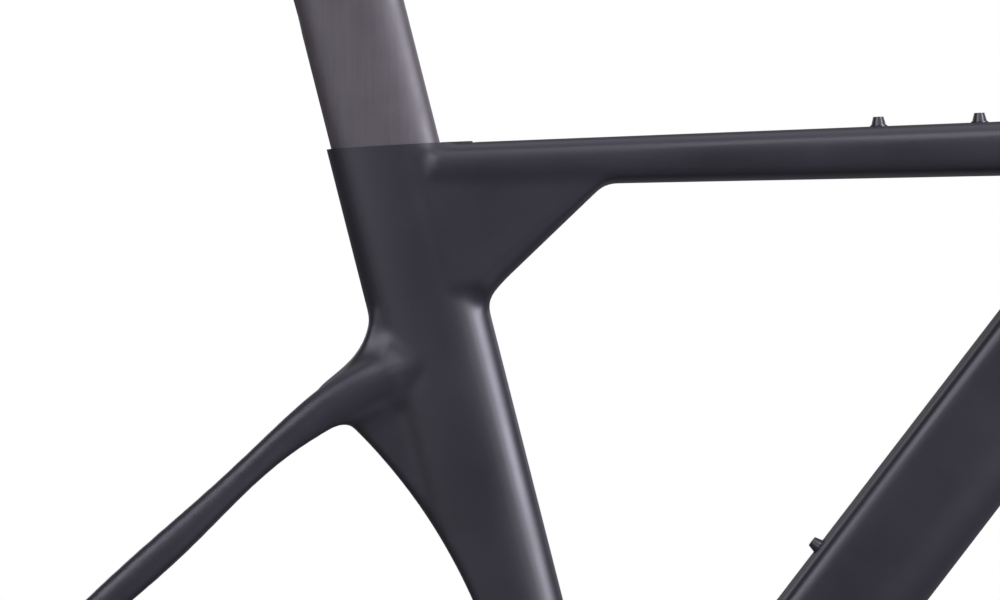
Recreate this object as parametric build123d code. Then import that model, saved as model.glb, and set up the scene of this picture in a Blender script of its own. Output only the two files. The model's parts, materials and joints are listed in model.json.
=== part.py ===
from build123d import *
from functools import cache
import os
from math import asin, atan2, copysign, cos, degrees, pi, radians, sin, sqrt, tan

# Aero road and time-trial bicycle frame with its seatpost, headset and bottom bracket.
# Millimetres. Origin at the centre of the bottom bracket.
# +X towards the front wheel, +Y towards the left (brake) side, +Z up.

# ---- wheel and frame geometry
AXLE_X = -387.1
AXLE_Z = 72.8
WHEEL_CLEARANCE = 345.5
HUB_WIDTH = 142.0
SEAT_ANGLE = 75.74
DOWN_ANGLE = 52.5
HEAD_ANGLE = 72.5
HEAD_LOW_X = 403.0
HEAD_LOW_Z = 412.5
HEAD_LENGTH = 104.0

# ---- aero sections (superellipse exponents: 2 is an ellipse, more is squarer)
NOSE_POWER = 2.1
TAIL_POWER = 2.8
KAMM_POWER = 7.0
BOX_POWER = 3.0
OUTLINE_POINTS = 24

# ---- seat tube and post, offsets measured across the seat line
SEAT_FRONT = 37.3
SEAT_REAR = 35.8
SEAT_HALF = 18.0
SEAT_START = 20.0
SEAT_END = 530.0
POST_CHORD = 65.8
POST_WIDTH = 28.0
POST_GAP = 0.3
POST_START = 388.0
POST_END = 640.0
SOCKET_START = 312.0
COLLAR_REAR_X = -159.9
COLLAR_REAR_Z = 489.8
COLLAR_SLOPE = 3.4
COLLAR_SPACE = 130.0

# ---- top tube, edges as straight lines z = z0 + slope * x
TOP_EDGE_Z = 497.2
TOP_EDGE_SLOPE = 0.0391
LOW_EDGE_Z = 468.65
LOW_EDGE_SLOPE = 0.01974
TOP_START_X = -95.0
TOP_END_X = 392.0
TOP_HALF_REAR = 18.5
TOP_HALF_FRONT = 23.0
TOP_STATIONS = 6

# ---- down tube, square to its own line
DOWN_FRONT = 35.9
DOWN_REAR = 37.0
DOWN_HALF_LOW = 28.0
DOWN_HALF_HIGH = 23.5
DOWN_START = 8.0
DOWN_END = 600.0
DOWN_STATIONS = 6

# ---- webs that fill the corners of the main triangle
GUSSET_LOW = (-51.8, 409.6)
GUSSET_HIGH = (8.0, 467.0)
GUSSET_HALF = 16.5
GUSSET_ROUND = 11.0
GUSSET_INNER = ((8.0, 490.0), (-90.0, 485.0), (-62.0, 398.0))
WEB_RADIUS = 33.0
WEB_HALF = 16.0
WEB_SINK = 3.0
WEB_TOP = 15.0
YOKE_HALF = 13.0
YOKE_LOW_Z = 262.0
YOKE_HIGH_ANGLE = 50.0
YOKE_TIP = (-165.0, 0.0, 344.3)
YOKE_NECK = (-146.5, 0.0, 360.4)
YOKE_TOP = (-134.7, 0.0, 387.0)
YOKE_INSIDE = (-110.0, 0.0, 387.0)
YOKE_TIP_COURSE = (0.742, 0.0, 0.67)
YOKE_TOP_COURSE = (0.1, 0.0, 1.0)

# ---- bottom bracket: 86.5 mm shell with a 41 mm bore, for a 24 mm spindle
SHELL_HALF = 43.25
SHELL_RADIUS = 35.3
SHELL_END_RADIUS = 27.0
SHELL_FLAT = 22.0
SHELL_ROUND = 6.0
SHELL_BORE = 20.5
CUP_FLANGE_RADIUS = 22.5
CUP_FLANGE = 1.6
CUP_LENGTH = 21.0
CUP_BORE = 16.0
BB_BEARING_OD = 37.0
BB_BEARING_ID = 24.0
BB_BEARING_WIDTH = 7.0
BB_BALL = 3.0
BB_BALLS = 17
BB_SLEEVE_RADIUS = 17.0
BB_SLEEVE_WALL = 0.8
SEAL_LIP = 1.2
GROOVE_GAP = 0.06
RACE_SHARE = 0.32

# ---- headset: 41.8 mm upper and 52 mm lower cartridge bearings
UPPER_OD = 41.8
UPPER_ID = 30.15
UPPER_WIDTH = 6.5
LOWER_OD = 52.0
LOWER_ID = 40.0
LOWER_WIDTH = 7.0
HEADSET_BALL = 2.8
UPPER_BALLS = 21
LOWER_BALLS = 27
HEAD_RECESS = 1.0
STEERER_BORE_RADIUS = 19.0
RING_BORE = 14.35
COVER_RADIUS = 24.5
COVER_HEIGHT = 7.0
COVER_GAP = 0.5
COVER_ROUND = 4.0
COVER_HOLLOW = 1.4
RING_LIP = 1.5
RING_LIP_HEIGHT = 1.0
RING_RISE = 0.5
RING_SLIT = 1.2
RING_SLIT_LENGTH = 8.0
HEAD_FRONT = 33.0
HEAD_REAR = 30.0
HEAD_HALF_LOW = 30.5
HEAD_HALF_HIGH = 26.0
HEAD_TAPER = 4.0

# ---- stays: (x, y, z, depth, width) down the left side
SEATSTAY = (
    (-100.0, 8.0, 362.0, 24.0, 12.0),
    (-128.0, 15.0, 349.0, 27.0, 15.0),
    (-158.0, 22.0, 332.0, 26.8, 14.6),
    (-187.8, 27.5, 310.4, 20.1, 12.5),
    (-244.0, 37.0, 259.1, 19.4, 12.0),
    (-300.0, 47.0, 208.4, 19.4, 12.0),
    (-343.0, 58.5, 164.0, 19.5, 12.0),
    (-368.0, 69.5, 128.0, 20.5, 12.0),
    (-378.5, 75.5, 100.0, 22.0, 11.0),
)
CHAINSTAY = (
    (-12.0, 25.0, 0.0, 52.0, 22.0),
    (-48.0, 29.5, 5.0, 44.0, 19.0),
    (-95.0, 30.5, 14.0, 37.0, 17.5),
    (-160.0, 38.0, 27.0, 31.0, 17.0),
    (-230.0, 50.5, 41.5, 27.0, 16.0),
    (-300.0, 65.0, 55.5, 25.0, 15.0),
    (-340.0, 73.5, 63.5, 24.0, 13.0),
    (-368.0, 75.7, 69.0, 24.0, 11.0),
)
STAY_POWER = 2.5

# ---- dropouts, axle and hanger
DROPOUT_THICK = 9.5
DROPOUT_RADIUS = 19.0
DROPOUT_ARM = 11.5
DROPOUT_ROUND = 2.0
AXLE_RADIUS = 6.0
AXLE_FIT = 0.08
AXLE_HEAD_RADIUS = 10.5
AXLE_HEAD_LENGTH = 6.5
AXLE_BORE = 2.9
AXLE_HEAD_ROUND = 1.2
AXLE_KEY = 3.45
AXLE_KEY_DEPTH = 8.5
AXLE_END = 2.0
WASHER_RADIUS = 10.5
WASHER_THICK = 1.5
WASHER_GAP = 0.3
HANGER_THICK = 4.0
HANGER_BOSS_RADIUS = 9.0
HANGER_BOSS_THICK = 8.0
HANGER_HOLE_RADIUS = 4.6
HANGER_BACK = 9.0
HANGER_DROP = 28.0
HANGER_RING_RADIUS = 12.5
HANGER_SCREW = (13.0, 11.0)
HANGER_TAB_WIDTH = 9.0
SCREW_RADIUS = 2.0
SCREW_HEAD = 3.4
SCREW_SINK = 1.6
SCREW_LENGTH = 8.0
SCREW_KEY = 1.15

# ---- flat-mount brake seat on the left chainstay
BRAKE_SPACING = 34.0
BRAKE_HOLE = 2.65
BRAKE_SPOT = (-308.0, 66.5, 57.1)
BRAKE_TILT = 11.3
BRAKE_RISE = 15.0
BRAKE_PAD_LENGTH = 60.0
BRAKE_PAD_WIDTH = 14.0
BRAKE_PLATE_LENGTH = 46.0
BRAKE_PLATE_THICK = 3.0
BRAKE_DROP = 12.5

# ---- rubber grommets where the hose and the wire leave the chainstays
GROMMET_RADIUS = 4.0
GROMMET_FLANGE = 5.5
GROMMET_HOLE = 2.6
GROMMET_DEPTH = 7.0
GROMMET_FLANGE_THICK = 1.2
GROMMET_SPACE = 8.0
HOSE_SPOT = (-255.0, 55.5, 58.5)
WIRE_SPOT = (-318.0, 69.0, 69.5)

# ---- small hardware
BOSS_SPACING = 64.0
BOSS_SINK = 0.4
BOTTLE_UP = 281.0
BAG_X = 178.2
BAG_SPACING = 62.1
BOLT_RADIUS = 2.5
BOLT_LENGTH = 15.0
BOLT_HEAD_LOW = 4.6
BOLT_HEAD_TOP = 3.2
BOLT_HEAD_HEIGHT = 5.2
INSERT_FLANGE = 5.4
INSERT_FLANGE_THICK = 1.0
INSERT_RADIUS = 3.6
INSERT_LENGTH = 14.0
KEY_DEPTH = 2.6
POCKET_SLACK = 2.0
POCKET_OPEN = 20.0
THREAD_GAP = 0.05
HEX_CAGE_BOLT = 2.0
HEX_M6 = 2.3
HEX_M6_DEPTH = 3.0

# ---- wedge clamp in front of the post
CLAMP_OFFSET = 43.5
CLAMP_HALF = 8.3
POCKET_FRONT = 52.5
POCKET_START = 452.0
SHOE_REAR = 33.4
SHOE_FRONT_LOW = 35.4
SHOE_FRONT_HIGH = 37.4
SHOE_END = 478.0
WEDGE_GAP = 0.6
WEDGE_FRONT = 50.5
WEDGE_START = 456.5
WEDGE_HEIGHT = 15.0
BRIDGE_START = 480.5
BRIDGE_THICK = 5.0
BOLT_M6 = 3.0
CLAMP_HEAD_RADIUS = 5.0
CLAMP_HEAD_HEIGHT = 6.0
PLUG_START = 493.2
PLUG_DEPTH = 9.0
PLUG_PROUD = 0.5
POCKET_ROUND = 2.0
POCKET_REACH = 4.0

# ---- saddle clamp
RAIL_RADIUS = 3.5
RAIL_HALF_SPACING = 22.0
RAIL_CLAMP_LENGTH = 40.0
RAIL_LIFT = 13.0
HEAD_RADIUS = 16.0
BARREL_RADIUS = 10.0
BARREL_FIT = 0.05
BARREL_DEPTH = 12.0
JAW_INNER = 14.6
JAW_OUTER = 29.0
JAW_SPLIT = 0.8
JAW_LOW = -11.0
JAW_HIGH = 19.0
SADDLE_BOLT_HEAD = 5.0
SADDLE_BOLT_HEAD_LENGTH = 5.5
JAW_ROUND = 6.0
BARREL_REACH = 0.5
NUT_THICK = 5.0
NUT_RADIUS = 5.8
NUT_FLANGE = 6.5
NUT_FLANGE_THICK = 1.2


def seat_point(along, across=0.0, side=0.0):
    """Point at a distance up the seat line and forward of it."""
    a = radians(SEAT_ANGLE)
    return Vector(across * sin(a) - along * cos(a), side, along * sin(a) + across * cos(a))


def seat_plane(along, across=0.0, side=0.0):
    """Plane square to the seat line; its x axis points forward."""
    a = radians(SEAT_ANGLE)
    return Plane(seat_point(along, across, side), x_dir=(sin(a), 0, cos(a)), z_dir=(-cos(a), 0, sin(a)))


def down_plane(along, rise=0.0):
    """Plane square to the down tube; its x axis points down and forward, to the leading edge."""
    a = radians(DOWN_ANGLE)
    spot = (along * cos(a) - rise * sin(a), 0, along * sin(a) + rise * cos(a))
    return Plane(spot, x_dir=(sin(a), 0, -cos(a)), z_dir=(cos(a), 0, sin(a)))


def head_plane(along, forward=0.0):
    """Plane square to the steering axis, measured up from the lower end of the head tube."""
    a = radians(HEAD_ANGLE)
    spot = (HEAD_LOW_X - along * cos(a) + forward * sin(a), 0, HEAD_LOW_Z + along * sin(a) + forward * cos(a))
    return Plane(spot, x_dir=(sin(a), 0, cos(a)), z_dir=(-cos(a), 0, sin(a)))


def side_plane(x, y, z):
    """Plane whose normal points along +Y, with x forward and y downward."""
    return Plane((x, y, z), x_dir=(1, 0, 0), z_dir=(0, 1, 0))


def section(front, rear, half, nose=NOSE_POWER, tail=TAIL_POWER):
    """Smooth closed section: x towards the front, y across."""
    spots = []
    for k in range(OUTLINE_POINTS):
        c = cos(2 * pi * k / OUTLINE_POINTS)
        s = sin(2 * pi * k / OUTLINE_POINTS)
        reach = front if c > 0 else rear
        power = nose if c > 0 else tail
        spots.append((copysign(reach * abs(c) ** (2 / power), c), copysign(half * abs(s) ** (2 / power), s)))
    return make_face(Spline(*spots, periodic=True))


def placed(plane, sketch):
    """A section as one face in space."""
    return (plane * sketch).face()


def rod(plane, radius, length, start=0.0):
    """Cylinder along the normal of a plane."""
    return extrude(plane.offset(start) * Circle(radius), length)


def ring(plane, outer, inner, length, start=0.0):
    """Tube along the normal of a plane."""
    return extrude(plane.offset(start) * (Circle(outer) - Circle(inner)), length)


def side_slab(points, half):
    """Outline in the side view, given as (x, z), thickened evenly about the middle plane."""
    face = make_face(Polyline(*[(x, 0, z) for x, z in points], close=True))
    return extrude(face, half, both=True)


def smooth_tube(stations, sign):
    """Loft through elliptical stations (x, y, z, depth, width) on the side given by sign."""
    faces = []
    last = len(stations) - 1
    for k, (x, y, z, depth, width) in enumerate(stations):
        ahead = stations[min(k + 1, last)]
        behind = stations[max(k - 1, 0)]
        along = Vector(ahead[0] - behind[0], sign * (ahead[1] - behind[1]), ahead[2] - behind[2])
        across = Vector(0, 1, 0).cross(along).normalized()
        plane = Plane((x, sign * y, z), x_dir=across, z_dir=along)
        faces.append(placed(plane, section(depth / 2, depth / 2, width / 2, STAY_POWER, STAY_POWER)))
    return loft(faces)


@cache
def wheel_space():
    """Disc that keeps the seat tube clear of the rear wheel."""
    return rod(side_plane(AXLE_X, -SHELL_HALF, AXLE_Z), WHEEL_CLEARANCE, 2 * SHELL_HALF)


@cache
def seat_outer():
    """Outside of the seat tube, cut by the wheel space and at the sloping collar."""
    outline = placed(seat_plane(SEAT_START), section(SEAT_FRONT, SEAT_REAR, SEAT_HALF))
    return extrude(outline, SEAT_END - SEAT_START) - wheel_space() - above_collar()


@cache
def above_collar():
    """Everything above the sloping plane of the collar."""
    slope = radians(COLLAR_SLOPE)
    corner = (COLLAR_REAR_X, 0, COLLAR_REAR_Z)
    plane = Plane(corner, x_dir=(cos(slope), 0, sin(slope)), z_dir=(-sin(slope), 0, cos(slope)))
    return extrude(plane * Rectangle(2 * COLLAR_SPACE, COLLAR_SPACE), COLLAR_SPACE)


def post_section(gap=0.0):
    """Seatpost section, grown by a gap all round."""
    half = POST_CHORD / 2 + gap
    return section(half, half, POST_WIDTH / 2 + gap)


@cache
def clamp_pocket():
    """Well for the wedge clamp, open at the top."""
    depth = SEAT_END - POCKET_START
    rear = POST_CHORD / 2 - POCKET_REACH
    outline = RectangleRounded(POCKET_FRONT - rear, 2 * CLAMP_HALF, POCKET_ROUND)
    return extrude(seat_plane(POCKET_START, (POCKET_FRONT + rear) / 2) * outline, depth)


def seat_tube():
    """Seat tube with the post's socket and the window of the clamp."""
    socket = extrude(placed(seat_plane(SOCKET_START), post_section(POST_GAP)), SEAT_END - SOCKET_START)
    return seat_outer() - socket - clamp_pocket() - shell_outer()


@cache
def shell_outer():
    """Outside of the bottom bracket shell, turned about Y."""
    profile = Polyline(
        (0, -SHELL_HALF),
        (SHELL_END_RADIUS, -SHELL_HALF),
        (SHELL_RADIUS, -SHELL_FLAT),
        (SHELL_RADIUS, SHELL_FLAT),
        (SHELL_END_RADIUS, SHELL_HALF),
        (0, SHELL_HALF),
        close=True,
    )
    body = revolve(make_face(profile), Axis.Y)
    rims = body.edges().filter_by(lambda e: abs(abs(e.center().Y) - SHELL_FLAT) < 0.1)
    return fillet(rims, SHELL_ROUND)


def bottom_bracket_shell():
    """Shell with its through bore."""
    return shell_outer() - rod(side_plane(0, -SHELL_HALF - 1, 0), SHELL_BORE, 2 * SHELL_HALF + 2)


@cache
def top_outer():
    """Outside of the top tube, rounded box section growing towards the head."""
    faces = []
    for k in range(TOP_STATIONS):
        share = k / (TOP_STATIONS - 1)
        x = TOP_START_X + share * (TOP_END_X - TOP_START_X)
        high = TOP_EDGE_Z + TOP_EDGE_SLOPE * x
        low = LOW_EDGE_Z + LOW_EDGE_SLOPE * x
        half = TOP_HALF_REAR + share * (TOP_HALF_FRONT - TOP_HALF_REAR)
        plane = Plane((x, 0, (high + low) / 2), x_dir=(0, 0, 1), z_dir=(1, 0, 0))
        faces.append(placed(plane, section((high - low) / 2, (high - low) / 2, half, BOX_POWER, BOX_POWER)))
    return loft(faces)


def top_tube():
    """Top tube between the seat tube and the head tube, with pockets for its inserts."""
    cover = rod(head_plane(HEAD_LENGTH), COVER_RADIUS + COVER_GAP, HEAD_LENGTH)
    body = largest(top_outer() - seat_outer() - head_outer() - clamp_pocket() - above_post() - cover)
    for plane in bag_planes():
        body -= insert_pocket(plane)
    return body


@cache
def above_post():
    """Clearance around the post above the collar."""
    return extrude(placed(seat_plane(SOCKET_START), post_section(POST_GAP)), SEAT_END - SOCKET_START)


def gusset():
    """Filled corner between seat tube and top tube."""
    slab = side_slab((GUSSET_LOW, GUSSET_HIGH) + GUSSET_INNER, GUSSET_HALF)
    middle_x = (GUSSET_LOW[0] + GUSSET_HIGH[0]) / 2
    near = slab.edges().filter_by(lambda e: abs(e.center().X - middle_x) < 3)
    edges = near.filter_by(lambda e: e.center().Z < GUSSET_HIGH[1])
    return fillet(edges, GUSSET_ROUND) - seat_outer() - top_outer() - clamp_pocket()


@cache
def down_outer():
    """Outside of the down tube: rounded leading edge below, flat back above."""
    faces = []
    for k in range(DOWN_STATIONS):
        share = k / (DOWN_STATIONS - 1)
        half = DOWN_HALF_LOW + share * (DOWN_HALF_HIGH - DOWN_HALF_LOW)
        along = DOWN_START + share * (DOWN_END - DOWN_START)
        outline = section(DOWN_FRONT, DOWN_REAR, half, NOSE_POWER, KAMM_POWER)
        faces.append(placed(down_plane(along), outline))
    return loft(faces)


def down_tube():
    """Down tube between shell and head tube, with pockets for its inserts."""
    body = down_outer() - shell_outer() - seat_outer() - head_outer() - top_outer()
    for plane in bottle_planes():
        body -= insert_pocket(plane)
    return largest(body)


def largest(shape):
    """The biggest solid of a shape, without loose trimmings."""
    return max(shape.solids(), key=lambda s: s.volume)


def head_web():
    """Filled corner under the top tube behind the head tube, with a round front edge."""
    a = radians(DOWN_ANGLE)
    across = LOW_EDGE_SLOPE * cos(a) - sin(a)
    along = (LOW_EDGE_SLOPE * -DOWN_REAR * sin(a) + LOW_EDGE_Z - DOWN_REAR * cos(a)) / -across
    x = along * cos(a) - DOWN_REAR * sin(a) + WEB_SINK * cos(a / 2)
    z = along * sin(a) + DOWN_REAR * cos(a) + WEB_SINK * sin(a / 2)
    reach = WEB_RADIUS / tan(a / 2)
    deep = WEB_RADIUS / sin(a / 2) - WEB_RADIUS
    start = (x - reach, 0, z)
    middle = (x - deep * cos(a / 2), 0, z - deep * sin(a / 2))
    finish = (x - reach * cos(a), 0, z - reach * sin(a))
    low = (x + WEB_SINK, 0, finish[2])
    high = (x + WEB_SINK, 0, z + WEB_TOP)
    rear = (start[0], 0, z + WEB_TOP)
    edge = ThreePointArc(start, middle, finish) + Polyline(finish, low, high, rear, start)
    slab = extrude(make_face(edge), WEB_HALF, both=True)
    return largest(slab - down_outer() - top_outer() - head_outer())


@cache
def head_outer():
    """Outside of the head tube, wider at its lower end."""
    faces = []
    for along in (0.0, HEAD_LENGTH / 2, HEAD_LENGTH):
        share = along / HEAD_LENGTH
        half = HEAD_HALF_LOW + share * (HEAD_HALF_HIGH - HEAD_HALF_LOW)
        front = HEAD_FRONT - HEAD_TAPER * share
        rear = HEAD_REAR - HEAD_TAPER * share
        faces.append(placed(head_plane(along), section(front, rear, half, NOSE_POWER, NOSE_POWER)))
    return loft(faces)


def head_tube():
    """Head tube with seats for both bearings."""
    upper = rod(headset_upper_plane(), UPPER_OD / 2, UPPER_WIDTH + HEAD_RECESS + 1)
    lower = rod(head_plane(-1), LOWER_OD / 2, LOWER_WIDTH + HEAD_RECESS + 1)
    through = rod(head_plane(-1), STEERER_BORE_RADIUS, HEAD_LENGTH + 2)
    return head_outer() - upper - lower - through


@cache
def yoke():
    """Bridge over the wheel between the roots of the seat stays."""
    reach = WHEEL_CLEARANCE
    a_low = asin((YOKE_LOW_Z - AXLE_Z) / reach)
    a_high = radians(YOKE_HIGH_ANGLE)
    low = (AXLE_X + reach * cos(a_low), 0, AXLE_Z + reach * sin(a_low))
    mid = (AXLE_X + reach * cos((a_low + a_high) / 2), 0, AXLE_Z + reach * sin((a_low + a_high) / 2))
    high = (AXLE_X + reach * cos(a_high), 0, AXLE_Z + reach * sin(a_high))
    edge = ThreePointArc(low, mid, high) + Line(high, YOKE_TIP)
    edge += Spline(YOKE_TIP, YOKE_NECK, YOKE_TOP, tangents=(YOKE_TIP_COURSE, YOKE_TOP_COURSE))
    edge += Line(YOKE_TOP, YOKE_INSIDE) + Line(YOKE_INSIDE, low)
    slab = extrude(make_face(edge), YOKE_HALF, both=True)
    return largest(slab - seat_outer())


def seatstay(sign):
    """Seat stay from the flank of the seat tube to the dropout."""
    body = smooth_tube(SEATSTAY, sign) - seat_outer() - yoke() - dropout_plate(sign)
    return largest(body)


def chainstay(sign):
    """Chainstay from the bottom bracket shell to the dropout; the left one carries the brake seat."""
    body = smooth_tube(CHAINSTAY, sign) - shell_outer() - seat_outer() - down_outer() - dropout_plate(sign)
    if sign > 0:
        body = body + brake_pad() - brake_holes() - brake_plate_blank()
    return largest(body - grommet_hole(sign))


def brake_plane(rise=0.0):
    """Plane of the brake seat, its normal pointing up from the stay."""
    a = radians(BRAKE_TILT)
    x, y, z = BRAKE_SPOT
    spot = (x + rise * sin(a), y, z + rise * cos(a))
    return Plane(spot, x_dir=(cos(a), 0, -sin(a)), z_dir=(sin(a), 0, cos(a)))


def brake_pad():
    """Raised flat pad for the brake caliper."""
    return extrude(brake_plane() * SlotOverall(BRAKE_PAD_LENGTH, BRAKE_PAD_WIDTH), BRAKE_RISE)


def brake_holes():
    """Two through holes for the caliper bolts."""
    pair = Pos(-BRAKE_SPACING / 2, 0) * Circle(BRAKE_HOLE) + Pos(BRAKE_SPACING / 2, 0) * Circle(BRAKE_HOLE)
    return extrude(brake_plane(-2 * BRAKE_RISE) * pair, 4 * BRAKE_RISE)


def brake_plate_blank():
    """Flat recess under the stay, the height of the plate and everything below it."""
    plane = brake_plane(-BRAKE_DROP - BRAKE_PLATE_THICK)
    return extrude(plane * SlotOverall(BRAKE_PLATE_LENGTH, BRAKE_PAD_WIDTH - 2), 2 * BRAKE_PLATE_THICK)


def brake_plate():
    """Aluminium plate that spreads the load of the caliper bolts."""
    return brake_plate_blank() - brake_holes()


def grommet_plane(sign):
    """Plane on top of a chainstay where a line comes out."""
    x, y, z = HOSE_SPOT if sign > 0 else WIRE_SPOT
    a = radians(BRAKE_TILT)
    return Plane((x, sign * y, z), x_dir=(cos(a), 0, -sin(a)), z_dir=(sin(a), 0, cos(a)))


def grommet_hole(sign):
    """Hole in a chainstay for its grommet."""
    plane = grommet_plane(sign)
    hole = rod(plane, GROMMET_RADIUS, GROMMET_DEPTH + 1, -GROMMET_DEPTH)
    return hole + rod(plane, GROMMET_FLANGE, GROMMET_SPACE)


def grommet(sign):
    """Flanged rubber grommet."""
    plane = grommet_plane(sign)
    body = rod(plane, GROMMET_RADIUS, GROMMET_DEPTH, -GROMMET_DEPTH)
    body += rod(plane, GROMMET_FLANGE, GROMMET_FLANGE_THICK)
    return body - rod(plane, GROMMET_HOLE, 2 * GROMMET_DEPTH, -GROMMET_DEPTH + 1)


def dropout_plate(sign):
    """Outline of a dropout: a disc about the axle with arms to both stays."""
    stay = SEATSTAY[-1]
    chain = CHAINSTAY[-1]
    face = Circle(DROPOUT_RADIUS)
    face += side_arm(stay[0] - AXLE_X, AXLE_Z - stay[2], 2 * DROPOUT_ARM)
    face += side_arm(chain[0] - AXLE_X, AXLE_Z - chain[2], 2 * DROPOUT_ARM)
    start = HUB_WIDTH / 2 if sign > 0 else -HUB_WIDTH / 2 - DROPOUT_THICK
    return extrude(side_plane(AXLE_X, start, AXLE_Z) * face, DROPOUT_THICK)


def dropout(sign):
    """Dropout with its axle hole; the right one is recessed for the hanger."""
    body = dropout_plate(sign)
    body = fillet(body.faces().sort_by(Axis.Y)[-1 if sign > 0 else 0].edges(), DROPOUT_ROUND)
    hole = rod(side_plane(AXLE_X, -HUB_WIDTH, AXLE_Z), AXLE_RADIUS + AXLE_FIT, 2 * HUB_WIDTH)
    if sign < 0:
        hole = hole + hanger_blank() + screw_hole()
    return body - hole


def side_arm(dx, dz, width):
    """Slot from the origin of a side plane to an offset given forward and down."""
    angle = degrees(atan2(dz, dx))
    length = sqrt(dx * dx + dz * dz)
    return Pos(dx / 2, dz / 2) * Rot(0, 0, angle) * SlotCenterToCenter(length, width)


def hanger_blank():
    """Plate of the derailleur hanger: a ring about the axle and an arm to the derailleur bolt."""
    face = Circle(HANGER_RING_RADIUS)
    face += side_arm(-HANGER_BACK, HANGER_DROP, 2 * HANGER_BOSS_RADIUS)
    face += side_arm(HANGER_SCREW[0], -HANGER_SCREW[1], HANGER_TAB_WIDTH)
    return extrude(side_plane(AXLE_X, -HUB_WIDTH / 2 - HANGER_THICK, AXLE_Z) * face, HANGER_THICK)


def derailleur_hanger():
    """Hanger with the threaded axle hole and the derailleur's threaded hole."""
    boss = side_plane(AXLE_X - HANGER_BACK, -HUB_WIDTH / 2 - HANGER_BOSS_THICK, AXLE_Z - HANGER_DROP)
    body = hanger_blank() + rod(boss, HANGER_BOSS_RADIUS, HANGER_BOSS_THICK)
    body -= rod(boss, HANGER_HOLE_RADIUS, 3 * HANGER_BOSS_THICK, -HANGER_BOSS_THICK)
    body -= rod(side_plane(AXLE_X, -HUB_WIDTH, AXLE_Z), AXLE_RADIUS + AXLE_FIT, HUB_WIDTH)
    return body - screw_hole()


def screw_plane():
    """Plane of the hanger screw's head, on the inner face of the hanger."""
    spot = (AXLE_X + HANGER_SCREW[0], -HUB_WIDTH / 2, AXLE_Z + HANGER_SCREW[1])
    return Plane(spot, x_dir=(1, 0, 0), z_dir=(0, -1, 0))


def screw_hole():
    """Countersunk hole for the hanger screw."""
    plane = screw_plane()
    return rod(plane, SCREW_RADIUS, 2 * SCREW_LENGTH) + screw_cone()


def screw_cone():
    """Conical head of the hanger screw."""
    plane = screw_plane()
    return loft([placed(plane, Circle(SCREW_HEAD)), placed(plane.offset(SCREW_SINK), Circle(SCREW_RADIUS))])


def hanger_screw():
    """Countersunk screw that holds the hanger to the dropout."""
    plane = screw_plane()
    socket = extrude(plane * RegularPolygon(SCREW_KEY, 6), SCREW_SINK)
    return screw_cone() + rod(plane, SCREW_RADIUS, SCREW_LENGTH) - socket


def key_bolt(plane):
    """Conical-head cage bolt with a hexagon socket; the plane's normal points out of the tube."""
    low = plane.offset(INSERT_FLANGE_THICK)
    high = plane.offset(INSERT_FLANGE_THICK + BOLT_HEAD_HEIGHT)
    head = loft([placed(low, Circle(BOLT_HEAD_LOW)), placed(high, Circle(BOLT_HEAD_TOP))])
    shank = rod(plane, BOLT_RADIUS, BOLT_LENGTH + INSERT_FLANGE_THICK, -BOLT_LENGTH)
    return head + shank - extrude(high.offset(-KEY_DEPTH) * RegularPolygon(HEX_CAGE_BOLT, 6), KEY_DEPTH + 1)


def insert(plane):
    """Flanged threaded insert sunk in a tube."""
    body = rod(plane, INSERT_FLANGE, INSERT_FLANGE_THICK)
    body += rod(plane, INSERT_RADIUS, INSERT_LENGTH, -INSERT_LENGTH)
    return body - rod(plane, BOLT_RADIUS, 2 * INSERT_LENGTH, -INSERT_LENGTH - 1)


def insert_pocket(plane):
    """Hole in a tube for an insert and the end of its bolt."""
    depth = INSERT_LENGTH + POCKET_SLACK
    return rod(plane, INSERT_RADIUS, depth + POCKET_OPEN, -depth) + rod(plane, INSERT_FLANGE, POCKET_OPEN)


def bottle_planes():
    """Planes of the two bottle bosses on the back of the down tube."""
    a = radians(DOWN_ANGLE)
    planes = []
    for along in (BOTTLE_UP, BOTTLE_UP - BOSS_SPACING):
        base = down_plane(along, DOWN_REAR - BOSS_SINK)
        planes.append(Plane(base.origin, x_dir=(cos(a), 0, sin(a)), z_dir=(-sin(a), 0, cos(a))))
    return planes


def bag_planes():
    """Planes of the two bag bosses on the top tube."""
    planes = []
    for x in (BAG_X, BAG_X + BAG_SPACING):
        z = TOP_EDGE_Z + TOP_EDGE_SLOPE * x - BOSS_SINK
        planes.append(Plane((x, 0, z), x_dir=(1, 0, TOP_EDGE_SLOPE), z_dir=(-TOP_EDGE_SLOPE, 0, 1)))
    return planes


def balls(plane, pitch, size, count):
    """Ring of bearing balls."""
    ball = Sphere(size / 2)
    angles = [2 * pi * k / count for k in range(count)]
    return [plane.location * Pos(pitch * cos(a), pitch * sin(a), 0) * ball for a in angles]


def race_pair(plane, outside, inside, width, ball):
    """Outer and inner race of a cartridge bearing starting at a plane, each with its groove."""
    pitch = (outside + inside) / 4
    groove = plane.offset(width / 2).location * Torus(pitch, ball / 2 + GROOVE_GAP)
    half_gap = RACE_SHARE * (outside - inside) / 4
    outer = ring(plane, outside / 2, pitch + half_gap, width) - groove
    inner = ring(plane, pitch - half_gap, inside / 2, width) - groove
    return outer, inner


def bb_plane(sign):
    """Plane at the inner end of a bottom bracket bearing, its normal pointing outwards."""
    return Plane((0, sign * (SHELL_HALF - BB_BEARING_WIDTH), 0), x_dir=(1, 0, 0), z_dir=(0, sign, 0))


def bb_cup(sign):
    """Press-fit cup with flange and bearing pocket."""
    plane = bb_plane(sign)
    body = ring(plane, SHELL_BORE, CUP_BORE, CUP_LENGTH, BB_BEARING_WIDTH - CUP_LENGTH)
    body += ring(plane, CUP_FLANGE_RADIUS, CUP_BORE, CUP_FLANGE, BB_BEARING_WIDTH)
    return body - rod(plane, BB_BEARING_OD / 2, BB_BEARING_WIDTH + CUP_FLANGE + 1)


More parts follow.
